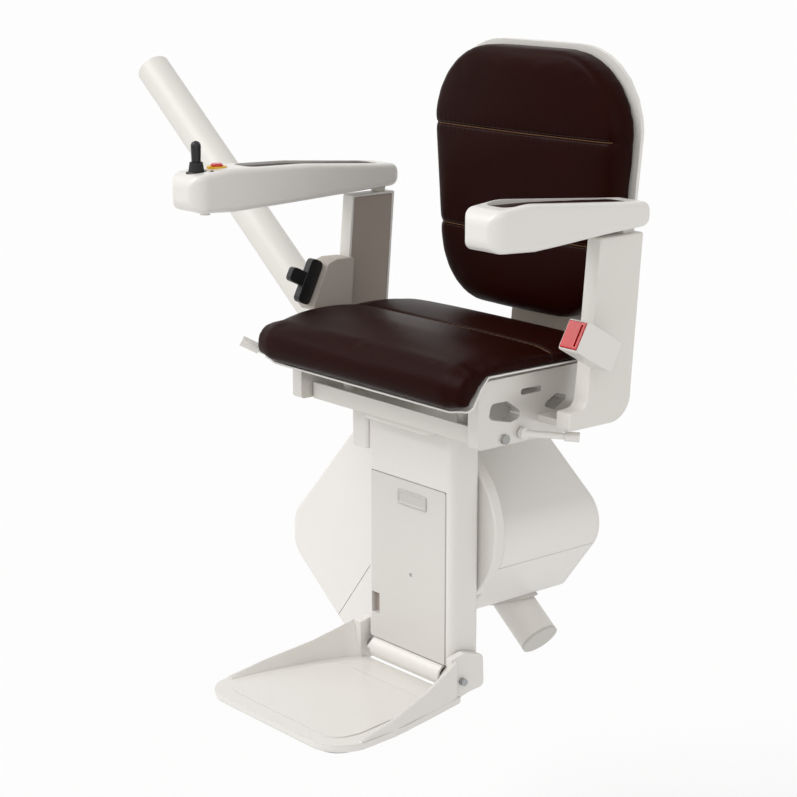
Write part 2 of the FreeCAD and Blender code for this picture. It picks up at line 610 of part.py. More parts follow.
def make_seat():
    stations = []
    for f in (-1.0, -0.985, -0.94, -0.86, -0.7, -0.4, 0.0, 0.4, 0.7, 0.86, 0.94, 0.985, 1.0):
        draw = 1.0 - math.sqrt(max(0.0, 1.0 - f * f)) if abs(f) > 0.9 else 0.0
        crown = SEAT_CROWN * (1.0 - abs(f) ** 3.0)
        inset = 4.0 * draw + 1.0 * abs(f) ** 6
        stations.append((f * SEAT_HALF, inset, SEAT_TOP + crown + 2.0 - 6.0 * draw, 5.0 * draw))
    save("seat_cushion", loft([seat_profile(*station) for station in stations]))

    # Thin pan that follows the cushion's underside, with hinge ears
    pan = loft([pan_profile(*station) for station in stations[1:-1]])
    ear = plate_yz([(-108, SEAT_SIDE_LOW - 2.0), (-108, 393), (-65, 366), (-39, 366), (-33, 388),
                    (-33, SEAT_SIDE_LOW - 2.0)], [1, 5, 9, 9, 8, 1], 164, FRAME_HALF - 1.2)
    pan = pan.fuse([ear, mirror_x(ear)])
    for s in (-1, 1):
        pan = pan.cut(rod(SEAT_PIN_R + RUNNING, (s * 150, *SEAT_AXIS), (s * 240, *SEAT_AXIS)))
    legs = [rod(7, (x, -205, FRAME_Z[0] + 4.3), (x, -205, SEAT_SIDE_LOW - 2.0)) for x in (-120, 120)]
    save("seat_pan", pan.fuse(legs))


# Back shell and cushion
def back_half(z, low, high, widest, grow=0.0):
    """Half width of the tombstone outline at a height."""
    top_r, low_r = 118.0, 90.0
    taper = widest - 24.0 * max(0.0, (690.0 - z) / (690.0 - 430.0)) if z < 690.0 else widest
    half = taper + grow
    if z > high - top_r:
        d = (z - (high - top_r)) / top_r
        half -= top_r * (1.0 - math.sqrt(max(0.0, 1.0 - d ** 2.1)))
    if z < low + low_r:
        d = ((low + low_r) - z) / low_r
        half -= low_r * (1.0 - math.sqrt(max(0.0, 1.0 - d ** 2.1)))
    return half


def back_heights(low, high, seams):
    """Heights of the sections, closer together round the corners and the seams."""
    zs = [low, low + 1.5, low + 5, low + 12, low + 24, low + 42, low + 66]
    zs += [high, high - 1.5, high - 5, high - 12, high - 24, high - 42, high - 66, high - 90, high - 108]
    for seam in seams:
        zs += [seam - 14, seam - 5, seam, seam + 5, seam + 14]
    zs += [low + 90, (seams[0] + seams[1]) / 2]
    return sorted(zs)


def make_back():
    low, high = BACK_LOW, BACK_TOP
    wires = []
    for z in back_heights(low, high, BACK_SEAMS):
        half = back_half(z, low, high, BACK_HALF)
        edge = min(z - low, high - z)
        soft = math.sqrt(max(0.0, 1.0 - (1.0 - min(edge, 26.0) / 26.0) ** 2))
        notch = 3.0 if z in BACK_SEAMS else (0.4 if min(abs(z - s) for s in BACK_SEAMS) < 6 else 0.0)
        puff = (15.0 + 12.0 * soft) - notch
        crown = 5.0 * soft + 1.5
        y_back = BACK_FRONT_Y + BACK_THICK
        y_side = y_back - puff * 0.72
        y_front = y_back - puff - BACK_THICK * 0.30 - 1.5

        def p(x, y):
            return V(x, y, z)

        r = 17.0 * soft + 3.0
        edges = [Part.LineSegment(p(half - 4, y_back), p(-half + 4, y_back)).toShape(),
                 Part.Arc(p(-half + 4, y_back), p(-half, (y_back + y_side) / 2), p(-half + 1.5, y_side)).toShape(),
                 Part.Arc(p(-half + 1.5, y_side), p(-half + r * 0.36, y_front + r * 0.42),
                          p(-half + r + 2, y_front)).toShape(),
                 Part.Arc(p(-half + r + 2, y_front), p(0, y_front - crown), p(half - r - 2, y_front)).toShape(),
                 Part.Arc(p(half - r - 2, y_front), p(half - r * 0.36, y_front + r * 0.42),
                          p(half - 1.5, y_side)).toShape(),
                 Part.Arc(p(half - 1.5, y_side), p(half, (y_back + y_side) / 2), p(half - 4, y_back)).toShape()]
        wires.append(Part.Wire(edges))
    save("back_cushion", lean(loft(wires), BACK_FRONT_Y, low))

    # Moulded shell behind the cushion, a little wider all round
    shell_low, shell_high, grow = low - 6.0, high + 6.0, 6.5
    wires = []
    for z in back_heights(shell_low, shell_high, BACK_SEAMS):
        half = back_half(z, shell_low, shell_high, BACK_HALF, grow)
        edge = min(z - shell_low, shell_high - z)
        soft = math.sqrt(max(0.0, 1.0 - (1.0 - min(edge, 60.0) / 60.0) ** 2))
        y_front = BACK_FRONT_Y + BACK_THICK + 0.4
        depth = 9.0 + 17.0 * soft

        def p(x, y):
            return V(x, y, z)

        edges = [Part.LineSegment(p(-half + 1, y_front), p(half - 1, y_front)).toShape(),
                 Part.Arc(p(half - 1, y_front), p(half - 2.5, y_front + 7), p(half - 12, y_front + 11)).toShape(),
                 Part.Arc(p(half - 12, y_front + 11), p(0, y_front + 11 + depth), p(-half + 12, y_front + 11)).toShape(),
                 Part.Arc(p(-half + 12, y_front + 11), p(-half + 2.5, y_front + 7), p(-half + 1, y_front)).toShape()]
        wires.append(Part.Wire(edges))
    form = loft(wires)
    m = FreeCAD.Matrix()
    centre = V(0, BACK_FRONT_Y + BACK_THICK + 0.4, (shell_low + shell_high) / 2)
    m.move(-centre)
    m.scale(0.955, 0.80, 0.97)
    m.move(centre)
    hollow = form.transformGeometry(m)
    hollow.translate(V(0, -0.2, 0))
    slab = box((-300, 300), (BACK_FRONT_Y + BACK_THICK - 9, BACK_FRONT_Y + BACK_THICK + 3.2), (300, 900))
    save("back_shell", lean(form.cut(hollow.cut(slab)), BACK_FRONT_Y, low))

    # Bracket from the subframe's rear edge up to the shell
    path = [(-6, 326), (-6, 331), (46, 331), (57, 345), (70, 480), (82, 480), (67, 341), (52, 326)]
    bracket = plate_yz(path, [0.5, 0.5, 12, 12, 0.5, 4, 18, 18], -74, 74)
    save("back_bracket", bracket.cut(lean(form, BACK_FRONT_Y, low)))


# Arms
def arm_profile(front, rear_round):
    """Side outline of an arm: deep at the front, slim at the pivot."""
    return [(front, 574), (front, 624), (front + 60, 630.5), (-200, 627), (-80, 617.5), (ARM_REAR, 613.5),
            (ARM_REAR, 582.0), (-100, 579.0), (front + 70, 570.5)], \
           [18, 20, 120, 300, 200, rear_round, rear_round, 200, 60]


def make_arm(side, front):
    """One arm with its slot for the upright's tongue; side is 1 for the sitter's left."""
    py, pz = ARM_PIVOT
    x0, x1 = ARM_X - ARM_W / 2, ARM_X + ARM_W / 2
    points, radii = arm_profile(front, 15)
    body = plate_yz(points, radii, x0, x1)
    # Plan view: rounded front, slight taper to the rear
    plan = plate_xy([(x0, front - 2), (x1, front - 2), (x1, -190), (x1 - 6, ARM_REAR + 2),
                     (x0 + 6, ARM_REAR + 2), (x0, -190)], [26, 26, 260, 14, 14, 260], 500, 700)
    body = body.common(plan)
    rim = [e for e in body.Edges if e.BoundBox.ZMin > 609.0]
    body = body.makeFillet(ARM_ROUND, rim)
    slot = box((ARM_X - 6, ARM_X + 6), (py - 14, ARM_REAR + 5), (560, pz + 12.5))
    body = body.cut(slot)
    for s in (-1, 1):
        body = body.cut(rod(ARM_PIN_R + RUNNING, (ARM_X, py, pz), (ARM_X + s * 15.5, py, pz)))
    # Seat for the pad
    pad_front = front + 100 if side < 0 else front + 30
    pad = plate_xy([(x0 + 10, pad_front), (x1 - 10, pad_front), (x1 - 14, -56), (x0 + 14, -56)],
                   [16, 16, 12, 12], 600, 700)
    body = body.cut(pad)
    thick = plate_yz([(pad_front - 9, 575), (pad_front - 9, 621.5), (-200, 620.5), (-30, 609.5), (-30, 575)],
                     [1, 1, 300, 1, 1], x0, x1)
    low = plate_yz([(pad_front - 9, 575), (pad_front - 9, 629.5 - PAD_SINK), (-200, 627.5 - PAD_SINK),
                    (-30, 616.5 - PAD_SINK), (-30, 575)], [1, 1, 300, 1, 1], x0, x1)
    pad = pad.cut(thick).common(low)
    body = body.fuse(thick.common(plate_xy([(x0 + 10, pad_front), (x1 - 10, pad_front), (x1 - 14, -56),
                                            (x0 + 14, -56)], [16, 16, 12, 12], 600, 700)).cut(slot))
    return body, pad


def make_arms():
    left, left_pad = make_arm(1, ARM_FRONT_SHORT)
    save("arm_left", left)
    save("arm_pad_left", left_pad)
    right, right_pad = make_arm(-1, ARM_FRONT_LONG)
    right, right_pad = mirror_x(right), mirror_x(right_pad)
    # Socket for the joystick's ball and a well for the stop button
    jx, jy, jz = -ARM_X, ARM_FRONT_LONG + 27.0, 618.0
    sx, sy = -ARM_X, ARM_FRONT_LONG + 61.0
    right = right.cut([Part.makeSphere(BALL_R + 0.3, V(jx, jy, jz)), rod(BALL_R + 0.3, (jx, jy, jz), (jx, jy, 640))])
    right = right.cut([rod(12.5, (sx, sy, 606), (sx, sy, 640)), rod(13.8, (sx, sy, 626.5), (sx, sy, 640))])
    plug = rod(7.0, (-ARM_X, ARM_FRONT_LONG + 40, 566.5), (-ARM_X, ARM_FRONT_LONG + 40, 576))
    save("arm_right", right.fuse(plug))
    save("arm_pad_right", right_pad)

    ball = Part.makeSphere(BALL_R, V(jx, jy, jz))
    boot = Part.makeCone(11.0, 9.0, 13.0, V(jx, jy, jz + 9.0), V(0, 0, 1))
    save("joystick_boot", boot.cut([ball, rod(3.6, (jx, jy, jz), (jx, jy, 650))]))
    knob = Part.makeCone(6.4, 7.0, 21.7, V(jx, jy, 640.3), V(0, 0, 1))
    stick = rod(3.6, (jx, jy, jz), (jx, jy, 650)).fuse([ball, knob, Part.makeSphere(7.0, V(jx, jy, 662.0))])
    save("joystick", stick)
    collar = ring(13.8, 9.2, (sx, sy, 626.5), (sx, sy, 632.0)).fuse(ring(12.5, 9.2, (sx, sy, 608), (sx, sy, 627)))
    save("stop_ring", collar)
    button = rod(8.7, (sx, sy, 613), (sx, sy, 634)).fuse(Part.makeCone(8.7, 6.5, 2.0, V(sx, sy, 634), V(0, 0, 1)))
    save("stop_button", button)


# Lap belt, levers
def make_belt():
    # Retractor in front of the sitter's right upright, its face square to the tongue
    wedge = plate_yz([(-155, 479), (-183, 419), (-176, 412), (-114.1, 412), (-107.9, 483), (-140, 484)],
                     [4, 3, 4, 3, 3, 6], -UPRIGHT_IN - UPRIGHT_T, -UPRIGHT_IN + 12.5)
    ux, uz = -0.90, 0.44
    mid = (-169.0, 449.0)

    def along(d, e=0.0):
        """A point d out of the retractor's face and e up along it."""
        return (mid[0] + ux * d + 0.44 * e, mid[1] + uz * d + 0.90 * e)

    x = -UPRIGHT_IN - 4.0

    def slab(d0, d1, e0, e1, half_x, r):
        pts = [along(d0, e0), along(d1, e0), along(d1, e1), along(d0, e1)]
        return plate_yz(pts, [r] * 4, x - half_x, x + half_x)

    wedge = wedge.cut(slab(-52, 4, -23.0, 23.0, 1.8, 0.5))
    save("belt_retractor", wedge)
    grip = slab(1.6, 23.0, -33.0, 33.0, 6.0, 7.0)
    stem = slab(20.0, 49.0, -10.5, 10.5, 5.0, 6.0)
    save("belt_tongue", grip.fuse(stem))
    save("belt_webbing", slab(-50.0, 1.5, -22.0, 22.0, 0.7, 0.2))

    # Buckle on the outer side of the other upright, its red face towards the sitter's hand
    bx0, bx1 = UPRIGHT_IN + UPRIGHT_T, UPRIGHT_IN + UPRIGHT_T + 33.0

    def spot(d, e):
        """A point d from the buckle's mouth along it and e up across it."""
        return (-163.0 + 0.867 * d + 0.498 * e, 458.0 - 0.498 * d + 0.867 * e)

    def bar(d0, d1, e0, e1, xa, xb, r):
        return plate_yz([spot(d0, e0), spot(d1, e0), spot(d1, e1), spot(d0, e1)], [r] * 4, xa, xb)

    body = bar(0.0, 72.0, -21.0, 21.0, bx0, bx1, 4.0)
    well = bar(-2.0, 13.0, -18.7, 18.7, bx0 + 1.7, bx1 - 1.7, 2.0)
    mouth = bar(-2.0, 44.0, -15.0, 15.0, bx1 - 9.0, bx1 - 5.0, 1.0)
    save("buckle_body", body.cut(well).cut(mouth))
    button = bar(-1.5, 9.0, -18.4, 18.4, bx0 + 2.0, bx1 - 2.0, 1.6)
    save("buckle_button", button.cut(bar(-3.0, 10.0, -14.5, 14.5, bx1 - 8.5, bx1 - 5.5, 0.5)))


def make_levers():
    # Swivel lever on the sitter's left, release lever on the right
    right = rod(4.5, (199.0, -170.0, 316.0), (244.0, -128.0, 313.0))
    hub = rod(8.0, (196.0, -170.0, 316.0), (203.0, -170.0, 316.0))
    knob = rod(6.5, (238.0, -133.6, 313.4), (252.0, -120.5, 312.5))
    save("swivel_lever", right.fuse([hub, knob]))
    left = rod(4.5, (-200.0, -212.8, 331.7), (-243.0, -272.0, 369.0))
    hub = rod(8.0, (-196.0, -210.0, 330.0), (-203.0, -210.0, 330.0))
    save("release_lever", left.fuse([hub, rod(7.5, (-241.5, -270.0, 367.8), (-256.0, -290.0, 380.3))]))


make_rail()
make_housing()
make_chassis()
make_rollers()
make_drive()
make_column()
make_footrest()
make_seat_frame()
make_seat()
make_back()
make_arms()
make_belt()
make_levers()
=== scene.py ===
import logging
import math
from collections.abc import Callable, Sequence
from dataclasses import dataclass
from enum import Enum

import bmesh
import bpy
from mathutils import Matrix, Vector
from mathutils.bvhtree import BVHTree


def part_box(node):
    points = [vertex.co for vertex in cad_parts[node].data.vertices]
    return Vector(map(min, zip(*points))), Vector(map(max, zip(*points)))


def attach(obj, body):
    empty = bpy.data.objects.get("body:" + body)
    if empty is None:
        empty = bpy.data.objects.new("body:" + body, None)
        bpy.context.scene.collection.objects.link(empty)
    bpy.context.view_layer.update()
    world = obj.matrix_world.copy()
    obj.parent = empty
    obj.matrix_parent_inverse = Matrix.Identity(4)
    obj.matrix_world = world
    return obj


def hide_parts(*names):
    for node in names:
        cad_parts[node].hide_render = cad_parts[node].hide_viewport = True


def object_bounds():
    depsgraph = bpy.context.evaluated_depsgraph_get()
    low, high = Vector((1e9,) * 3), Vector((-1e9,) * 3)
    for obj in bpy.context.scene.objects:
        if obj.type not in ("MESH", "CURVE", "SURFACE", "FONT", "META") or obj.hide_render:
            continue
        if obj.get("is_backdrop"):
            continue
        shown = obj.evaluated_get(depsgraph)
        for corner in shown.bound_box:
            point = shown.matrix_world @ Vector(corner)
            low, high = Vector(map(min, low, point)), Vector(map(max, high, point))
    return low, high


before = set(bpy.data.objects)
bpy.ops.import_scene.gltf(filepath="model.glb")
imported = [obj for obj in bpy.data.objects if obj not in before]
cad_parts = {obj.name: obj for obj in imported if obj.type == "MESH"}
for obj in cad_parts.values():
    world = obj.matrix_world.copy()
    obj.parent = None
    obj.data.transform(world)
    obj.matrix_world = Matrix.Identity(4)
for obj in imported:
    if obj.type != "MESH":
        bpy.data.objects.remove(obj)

LOG = logging.getLogger("stairlift")
MM = 0.001
# A stitch longer than this many metres makes a row one unbroken cord
UNBROKEN = 1.0
# The photograph's camera: focal length and width in pixels, on a sensor of this width
FOCAL_PX = 2050.0
PHOTO_PX = 797.0
SENSOR_MM = 36.0
# Slope of the rail, and the height of the hub in metres
RAIL_SLOPE_DEG = 38.0
HUB_Z = 0.147
# Frames for which the covers of the cushions swell
SWELL_FRAMES = 20
SCREW_SIDES = 24
Point = tuple[float, float, float]


def linear(colour: str) -> tuple[float, float, float, float]:
    """Turn an sRGB hex colour to linear light.

    Args:
        colour: The colour as "#rrggbb".

    Returns:
        Red, green, blue and an alpha of 1.
    """
    parts = [int(colour[i:i + 2], 16) / 255.0 for i in (1, 3, 5)]
    red, green, blue = [p / 12.92 if p <= 0.04045 else ((p + 0.055) / 1.055) ** 2.4
                        for p in parts]
    return (red, green, blue, 1.0)


def add(tree: bpy.types.NodeTree, kind: str, sockets: dict | None = None,
        **settings: object) -> bpy.types.Node:
    """Add a node with its settings, and fill its sockets.

    Args:
        tree: The material's or world's node tree.
        kind: The node's type name.
        sockets: Input name or index to a value, or to the output socket that feeds it.
        settings: Attributes of the node.

    Returns:
        The new node.
    """
    node = tree.nodes.new(kind)
    for name, value in settings.items():
        setattr(node, name, value)
    for name, value in (sockets or {}).items():
        if isinstance(value, bpy.types.NodeSocket):
            tree.links.new(value, node.inputs[name])
        else:
            node.inputs[name].default_value = value
    return node


@dataclass(frozen=True)
class Finish:
    """A real material and how its surface was made. Sizes are in millimetres."""

    name: str
    colour: str
    roughness: float
    metallic: float = 0.0
    ior: float = 1.5
    specular: float = 0.5
    coat: float = 0.0
    grain_mm: float = 1.4
    grain_depth_mm: float = 0.02
    patch_mm: float = 160.0
    patch_shade: float = 0.96
    edge_mm: float = 1.2

    def relief(self, tree: bpy.types.NodeTree, place: bpy.types.NodeSocket) -> bpy.types.NodeSocket:
        """Height of the surface's fine relief, from 0 to 1.

        Args:
            tree: The material's node tree.
            place: Position on the piece, in metres.

        Returns:
            The socket that carries the height.
        """
        noise = add(tree, "ShaderNodeTexNoise", {
            "Vector": place, "Scale": 1000.0 / self.grain_mm, "Detail": 3.0})
        return noise.outputs["Fac"]

    def tint(self, tree: bpy.types.NodeTree, place: bpy.types.NodeSocket) -> bpy.types.NodeSocket:
        """Colour with the slow unevenness of a real surface.

        Args:
            tree: The material's node tree.
            place: Position on the piece, in metres.

        Returns:
            The socket that carries the colour.
        """
        noise = add(tree, "ShaderNodeTexNoise", {
            "Vector": place, "Scale": 1000.0 / self.patch_mm, "Detail": 2.0})
        light = linear(self.colour)
        dark = tuple(c * self.patch_shade for c in light[:3]) + (light[3],)
        mix = add(tree, "ShaderNodeMix", {0: noise.outputs["Fac"], 6: dark, 7: light}, data_type="RGBA")
        return mix.outputs[2]

    def build(self) -> bpy.types.Material:
        """Make the material, or return it where it exists.

        Returns:
            The material.
        """
        made = bpy.data.materials.get(self.name)
        if made:
            return made
        material = bpy.data.materials.new(self.name)
        material.use_nodes = True
        tree = material.node_tree
        tree.nodes.clear()
        place = add(tree, "ShaderNodeTexCoord").outputs["Object"]
        soft_edge = add(tree, "ShaderNodeBevel", {"Radius": self.edge_mm * MM}, samples=4)
        bump = add(tree, "ShaderNodeBump", {"Strength": 1.0, "Distance": self.grain_depth_mm * MM,
                                            "Height": self.relief(tree, place),
                                            "Normal": soft_edge.outputs[0]})
        shader = add(tree, "ShaderNodeBsdfPrincipled", {
            "Base Color": self.tint(tree, place), "Roughness": self.roughness,
            "Metallic": self.metallic, "IOR": self.ior, "Specular IOR Level": self.specular,
            "Coat Weight": self.coat, "Coat Roughness": 0.12, "Normal": bump.outputs[0]})
        add(tree, "ShaderNodeOutputMaterial", {"Surface": shader.outputs[0]})
        material.diffuse_color = linear(self.colour)
        return material


@dataclass(frozen=True)
class Leather(Finish):
    """Dyed and pressed leather: pebbles with fine creases between them."""

    pebble_mm: float = 2.4
    crease_mm: float = 38.0

    def relief(self, tree: bpy.types.NodeTree, place: bpy.types.NodeSocket) -> bpy.types.NodeSocket:
        """Pebbles over shallow creases."""
        cells = add(tree, "ShaderNodeTexVoronoi", {
            "Vector": place, "Scale": 1000.0 / self.pebble_mm}, feature="DISTANCE_TO_EDGE")
        pebbles = add(tree, "ShaderNodeMapRange", {"Value": cells.outputs["Distance"], "From Max": 0.22})
        creases = add(tree, "ShaderNodeTexNoise", {
            "Vector": place, "Scale": 1000.0 / self.crease_mm, "Detail": 6.0, "Distortion": 1.4})
        total = add(tree, "ShaderNodeMath", {0: pebbles.outputs[0], 1: creases.outputs["Fac"]})
        return total.outputs[0]


@dataclass(frozen=True)
class Brushed(Finish):
    """Ground or drawn metal: fine lines all one way."""

    along: Point = (1.0, 0.0, 0.0)

    def relief(self, tree: bpy.types.NodeTree, place: bpy.types.NodeSocket) -> bpy.types.NodeSocket:
        """Noise drawn out along the metal's direction."""
        squeeze = tuple(0.03 if a else 1.0 for a in self.along)
        drawn = add(tree, "ShaderNodeVectorMath", {0: place, 1: squeeze}, operation="MULTIPLY")
        noise = add(tree, "ShaderNodeTexNoise", {
            "Vector": drawn.outputs[0], "Scale": 1000.0 / self.grain_mm, "Detail": 4.0})
        return noise.outputs["Fac"]


@dataclass(frozen=True)
class Webbing(Finish):
    """Woven polyester: ribs across the strap."""

    thread_mm: float = 1.3

    def relief(self, tree: bpy.types.NodeTree, place: bpy.types.NodeSocket) -> bpy.types.NodeSocket:
        """Two crossed waves, one thread apart."""
        pitch = 1000.0 / self.thread_mm / 3.14  # a wave texture repeats about 3.14 times a unit
        warp = add(tree, "ShaderNodeTexWave", {"Vector": place, "Scale": pitch}, bands_direction="Y")
        weft = add(tree, "ShaderNodeTexWave", {"Vector": place, "Scale": pitch}, bands_direction="Z")
        return add(tree, "ShaderNodeMath", {0: warp.outputs["Fac"], 1: weft.outputs["Fac"]},
                   operation="MAXIMUM").outputs[0]


# Polyester powder coat on steel: satin, with a faint orange peel
POWDER_COAT = Finish("powder_coated_steel", "#dbd8d2", 0.38, grain_mm=2.6, grain_depth_mm=0.03)
# The back bracket's coat is painted a darker warm grey: painted shadow that falls on it between the back
# cushion and the seat
BRACKET_COAT_PAINTED_SHADOW = Finish("powder_coat_painted_shadow", "#b9aea4", 0.45, grain_mm=2.6, grain_depth_mm=0.03)
# Moulded ABS, satin: smooth with soft reflections
WHITE_ABS = Finish("satin_white_abs", "#dedbd6", 0.32, ior=1.53, coat=0.15, grain_depth_mm=0.012)
# The housing's ABS is a shade lighter
HOUSING_ABS = Finish("housing_white_abs", "#e3e0dc", 0.36, ior=1.53, grain_depth_mm=0.015)
# The front panel is a light silver-grey film on aluminium
SILVER_PANEL = Finish("silver_grey_panel", "#d0cdc8", 0.34, grain_depth_mm=0.012)
# Spark-eroded ABS in the recess of each upright and on the slot's floor: dull, and painted darker grey as the
# shade that falls in the recess
RECESS_GREY_PAINTED_SHADE = Finish("textured_abs_painted_recess_shade", "#9c9087", 0.58, grain_mm=1.0, grain_depth_mm=0.04)
# The retractor's cover is painted a darker warm grey: painted shade on its side that faces away from the key
# lamp
RETRACTOR_PAINTED_SHADE = Finish("retractor_abs_painted_shade", "#b5aca3", 0.5, grain_mm=1.0, grain_depth_mm=0.03)
# Polypropylene end plug: dull light grey
LIGHT_PP = Finish("light_polypropylene", "#c4c1bb", 0.5, grain_depth_mm=0.03)
# Glass-filled nylon of the safety edge
GREY_NYLON = Finish("grey_glass_filled_nylon", "#a8a6a2", 0.5, grain_mm=0.9, grain_depth_mm=0.03)
# Black acetal: fine grain, soft sheen, also for the battery cases inside
BLACK_ACETAL = Finish("black_acetal", "#0b0b0c", 0.42, ior=1.48, grain_mm=0.9, grain_depth_mm=0.03)
# Vulcanised rubber of the joystick's boot: black and dull
RUBBER = Finish("black_rubber", "#111112", 0.72, grain_depth_mm=0.03)
# Pale thermoplastic rubber of the rail wiper
PALE_RUBBER = Finish("pale_thermoplastic_rubber", "#c9c6c0", 0.62, grain_depth_mm=0.03)
# Pressure die cast aluminium under a pale lacquer
CAST_ALUMINIUM = Finish("die_cast_aluminium", "#d6d3ce", 0.3, metallic=0.45, grain_mm=3.0,
                        grain_depth_mm=0.03)
# Cold drawn steel bar, ground
DRAWN_STEEL = Brushed("ground_steel", "#a9aaac", 0.28, metallic=1.0, grain_mm=0.8, grain_depth_mm=0.01)
# Blackened and painted mild steel
DARK_STEEL = Finish("blackened_steel", "#33353a", 0.5, metallic=0.4, grain_depth_mm=0.03)
# Cast nylon roller
CAST_NYLON = Finish("cast_nylon", "#26272a", 0.5)
# Satin anodised plate, left bare
ANODISED_PLATE = Brushed("anodised_plate", "#c9c7c1", 0.35, metallic=0.7, grain_mm=0.7, grain_depth_mm=0.006)
# Polished coloured ABS for the stop button, its ring and the buckle's release
RED_ABS = Finish("polished_red_abs", "#c00a0e", 0.25, ior=1.53, coat=0.4, grain_depth_mm=0.005,
                 edge_mm=0.6)
YELLOW_ABS = Finish("yellow_abs", "#e5b400", 0.35, ior=1.53, grain_depth_mm=0.01, edge_mm=0.5)
# Drum-dyed dark brown hide, pressed and lightly waxed
HIDE = Leather("dark_brown_hide", "#210501", 0.4, ior=1.4, specular=0.07, grain_depth_mm=0.06,
               patch_mm=90.0, patch_shade=0.7, edge_mm=0.5)
# Bonded thread, a shade lighter than the hide
THREAD = Finish("brown_bonded_thread", "#2c1408", 0.6, grain_mm=0.5, grain_depth_mm=0.05, edge_mm=0.1)
# Thin welt in each seam, coloured light tan as a painted highlight along the seam's ridge
WELT_PAINTED_HIGHLIGHT = Finish("welt_painted_highlight", "#6e4c20", 0.5, grain_mm=0.8, grain_depth_mm=0.03, edge_mm=0.1)
# Woven polyester belt
BELT_WEB = Webbing("black_polyester_webbing", "#121214", 0.75, grain_depth_mm=0.25, edge_mm=0.1)
# Printed foil without any print, and the smoked lens of the arm's lamp
DARK_FOIL = Finish("dark_grey_foil", "#6d6a70", 0.4, grain_depth_mm=0.004, edge_mm=0.1)
DARK_LENS = Finish("smoked_red_lens", "#3a0c0a", 0.15, coat=0.6, grain_depth_mm=0.0, edge_mm=0.2)
# Zinc plated machine screws
ZINC = Finish("zinc_plated_steel", "#a3a3a0", 0.3, metallic=1.0, grain_depth_mm=0.004, edge_mm=0.3)

NODE_FINISH: dict[str, Finish] = {
    "rail_tube": POWDER_COAT, "rail_rack": DRAWN_STEEL, "rail_end_cap": LIGHT_PP,
    "main_cover": HOUSING_ABS, "lower_cover": HOUSING_ABS, "rear_cover": HOUSING_ABS,
    "rail_wiper": PALE_RUBBER,
    "carriage_frame": DARK_STEEL, "hub_bearing": DRAWN_STEEL, "roller_axles": DRAWN_STEEL,
    "drive_gearbox": CAST_ALUMINIUM, "drive_motor": DARK_STEEL, "battery_pack": BLACK_ACETAL,
    "levelling_motor": DARK_STEEL, "upper_roller_1": CAST_NYLON, "upper_roller_2": CAST_NYLON,
    "lower_roller": CAST_NYLON, "drive_pinion": DRAWN_STEEL,
    "column_cover": WHITE_ABS, "front_panel": SILVER_PANEL, "blank_badge": ANODISED_PLATE,
    "column_frame": POWDER_COAT, "swivel_drive_cover": WHITE_ABS, "hub_disc": WHITE_ABS,
    "hub_shaft": DRAWN_STEEL, "hinge_barrel": WHITE_ABS, "footrest_pin": DRAWN_STEEL,
    "footplate": WHITE_ABS, "tread_mat": WHITE_ABS, "safety_edge": GREY_NYLON,
    "swivel_plate": POWDER_COAT, "subframe": POWDER_COAT, "side_bracket_left": CAST_ALUMINIUM,
    "side_bracket_right": CAST_ALUMINIUM, "upright_left": POWDER_COAT, "upright_right": POWDER_COAT,
    "upright_panels": RECESS_GREY_PAINTED_SHADE, "seat_hinge_pins": DRAWN_STEEL, "arm_hinge_pins": DRAWN_STEEL,
    "bracket_bolts": ZINC, "back_shell": WHITE_ABS, "back_bracket": BRACKET_COAT_PAINTED_SHADOW,
    "seat_pan": WHITE_ABS, "arm_left": WHITE_ABS, "arm_right": WHITE_ABS,
    "joystick": BLACK_ACETAL, "joystick_boot": RUBBER, "stop_ring": YELLOW_ABS, "stop_button": RED_ABS,
    "belt_retractor": RETRACTOR_PAINTED_SHADE, "belt_tongue": BLACK_ACETAL, "belt_webbing": BELT_WEB,
    "buckle_body": WHITE_ABS, "buckle_button": RED_ABS, "swivel_lever": WHITE_ABS,
    "release_lever": WHITE_ABS,
}


def rings(rows: int, sides: int) -> list[list[int]]:
    """Faces of a closed skin over rows of points.

    Args:
        rows: Number of rows, numbered one after the other.
        sides: Points in each row.

    Returns:
        The quads between the rows, then the first end and the last end.
    """
    faces: list[list[int]] = []
    for i in range(rows - 1):
        for k in range(sides):
            a, b = i * sides + k, i * sides + (k + 1) % sides
            faces.append([a, b, b + sides, a + sides])
    last = (rows - 1) * sides
    return faces + [list(range(sides))[::-1], list(range(last, last + sides))]


def mesh_piece(name: str, points: Sequence[Vector], faces: Sequence[Sequence[int]], finish: Finish,
               body: str) -> bpy.types.Object:
    """Make a smooth mesh piece that rides on a body.

    Args:
        name: The piece's name.
        points: Vertices in the row frame, in metres.
        faces: Vertex numbers of each face.
        finish: What it is made of.
        body: The body it moves with.

    Returns:
        The new object.
    """
    mesh = bpy.data.meshes.new(name)
    mesh.from_pydata([tuple(p) for p in points], [], [tuple(f) for f in faces])
    mesh.validate()
    form = bmesh.new()
    form.from_mesh(mesh)
    bmesh.ops.recalc_face_normals(form, faces=form.faces)
    form.to_mesh(mesh)
    form.free()
    for face in mesh.polygons:
        face.use_smooth = True
    piece = bpy.data.objects.new(name, mesh)
    bpy.context.scene.collection.objects.link(piece)
    mesh.materials.append(finish.build())
    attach(piece, body)
    return piece


def tube(path: Sequence[Vector], radius: float, sides: int = 8) -> tuple[list[Vector], list[list[int]]]:
    """Round tube with closed ends along a path.

    Args:
        path: Points along the middle, in metres.
        radius: Radius in metres.
        sides: Corners of the cross-section.

    Returns:
        Vertices and faces.
    """
    points: list[Vector] = []
    side = Vector()
    for i, here in enumerate(path):
        ahead = (path[min(i + 1, len(path) - 1)] - path[max(i - 1, 0)]).normalized()
        side = ahead.orthogonal() if i == 0 else side - ahead * side.dot(ahead)
        side.normalize()
        other = ahead.cross(side)
        for k in range(sides):
            turn = 2.0 * math.pi * k / sides
            points.append(here + (side * math.cos(turn) + other * math.sin(turn)) * radius)
    return points, rings(len(path), sides)


